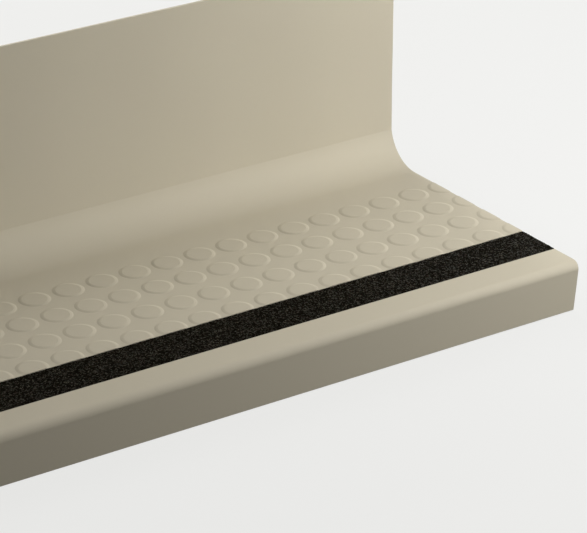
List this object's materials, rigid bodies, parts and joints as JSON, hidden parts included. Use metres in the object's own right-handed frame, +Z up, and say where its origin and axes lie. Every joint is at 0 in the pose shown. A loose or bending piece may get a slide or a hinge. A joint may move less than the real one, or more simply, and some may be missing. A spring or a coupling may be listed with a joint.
{
  "type": "rubber stair tread with integral riser",
  "caption": "One-piece moulded rubber stair tread and coved riser with a rounded drop nosing, low round studs and a black grit strip set in a groove along the front.",
  "frame": {"origin": "centre of the bounding box in X and Y, on the level floor that the piece rests on", "axes": "+X along the length of the piece, +Y from the nosing back to the riser, +Z up from the floor; the piece lies loose, tipped back on the foot of its lip and the back of its cove"},
  "size_m": [1.219, 0.3552, 0.2141],
  "materials": {
    "rubber": "moulded, satin to matt, greige",
    "grit": "black binder filled with fine glittering mineral grit"
  },
  "bodies": {
    "root": {"tread_and_riser": "rubber", "grit_strip": "grit"}
  },
  "joints": []
}
